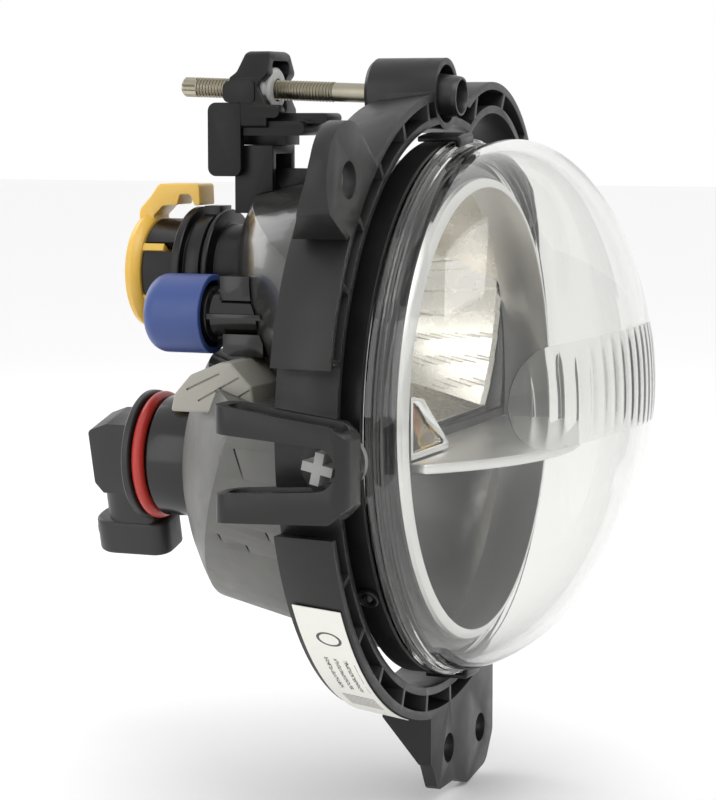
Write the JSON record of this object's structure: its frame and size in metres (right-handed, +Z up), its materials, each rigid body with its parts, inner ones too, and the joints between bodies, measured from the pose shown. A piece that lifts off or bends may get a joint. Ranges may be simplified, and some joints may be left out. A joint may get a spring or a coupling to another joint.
{
  "type": "fog light",
  "caption": "Round fog light with a clear domed lens, a second signal chamber, two bulbs, a vent cap and an adjustable ring carrier.",
  "frame": {"origin": "on the lens axis, at the centre of the carrier ring's front face", "axes": "+Z up, the lens faces -Y, +X to the right when looking along +Y"},
  "size_m": [0.154, 0.1377, 0.1737],
  "materials": {
    "carrier_plastic": "satin",
    "black_plastic": "satin",
    "label": "satin",
    "lens_clear": "polished",
    "chrome": "polished",
    "smoked_bowl": "gloss",
    "grey_bowl": "satin",
    "amber": "polished",
    "zinc": "satin",
    "white_nylon": "satin",
    "yellow_nylon": "satin",
    "blue_cap": "satin",
    "red_seal": "matte",
    "bulb_glass": "polished",
    "steel": "satin",
    "black_rubber": "matte"
  },
  "bodies": {
    "carrier": {"carrier_frame": "carrier_plastic", "rating_label": "label"},
    "bush": {"adjuster_bush": "white_nylon"},
    "lamp": {"housing_ring": "black_plastic", "lens_seal": "black_rubber", "lens": "lens_clear", "lens_clip_top": "black_plastic", "lens_clip_bottom": "black_plastic", "signal_reflector": "smoked_bowl", "fog_reflector": "grey_bowl", "divider_lip": "chrome", "window_frame": "chrome", "amber_window": "amber", "pivot_pin_near": "grey_bowl", "pivot_pin_far": "grey_bowl", "signal_socket": "black_plastic", "fog_socket": "black_plastic", "nut_bracket": "black_plastic", "housing_tower": "black_plastic", "vent_tube": "black_plastic", "vent_cap": "blue_cap"},
    "adjuster": {"adjuster_driver": "black_plastic", "adjuster_screw": "zinc"},
    "nut": {"adjuster_nut": "white_nylon"},
    "fog_bulb": {"fog_bulb_base": "black_plastic", "fog_seal": "red_seal", "fog_collar": "steel", "fog_glass": "bulb_glass", "fog_filament": "steel", "fog_terminal_front": "steel", "fog_terminal_rear": "steel"},
    "signal_bulb": {"signal_base": "yellow_nylon", "signal_glass": "amber", "signal_filament": "steel", "signal_contact_left": "steel", "signal_contact_right": "steel"}
  },
  "joints": [
    {"name": "lamp_tilt", "type": "hinge", "parent": "carrier", "child": "lamp", "pos_m": [0, 0.0007, -0.0051], "axis": [1, 0, 0], "range_deg": [-2, 2]},
    {"name": "bush_swivel", "type": "hinge", "parent": "carrier", "child": "bush", "pos_m": [0, 0.0149, 0.07135], "axis": [1, 0, 0], "range_deg": [-3.1, 3.1]},
    {"name": "adjuster_spin", "type": "hinge", "parent": "bush", "child": "adjuster", "pos_m": [0, 0.0149, 0.07135], "axis": [0, 0.9994, 0.0349], "range_deg": [-1192.4, 1192.4]},
    {"name": "nut_swivel", "type": "hinge", "parent": "lamp", "child": "nut", "pos_m": [0, 0.04548, 0.07242], "axis": [1, 0, 0], "range_deg": [-1.1, 1.1]},
    {"name": "fog_bulb_twist", "type": "hinge", "parent": "lamp", "child": "fog_bulb", "pos_m": [0, 0.0758, -0.0147], "axis": [0, 1, 0], "range_deg": [-32, 0]},
    {"name": "signal_bulb_pull", "type": "slide", "parent": "lamp", "child": "signal_bulb", "axis": [0, 1, 0], "range_m": [0, 0.04]}
  ],
  "couplings": [
    {"joint": "bush_swivel", "follows": "lamp_tilt", "ratio": 1.551},
    {"joint": "nut_swivel", "follows": "lamp_tilt", "ratio": 0.551},
    {"joint": "adjuster_spin", "follows": "lamp_tilt", "ratio": 596.2}
  ]
}
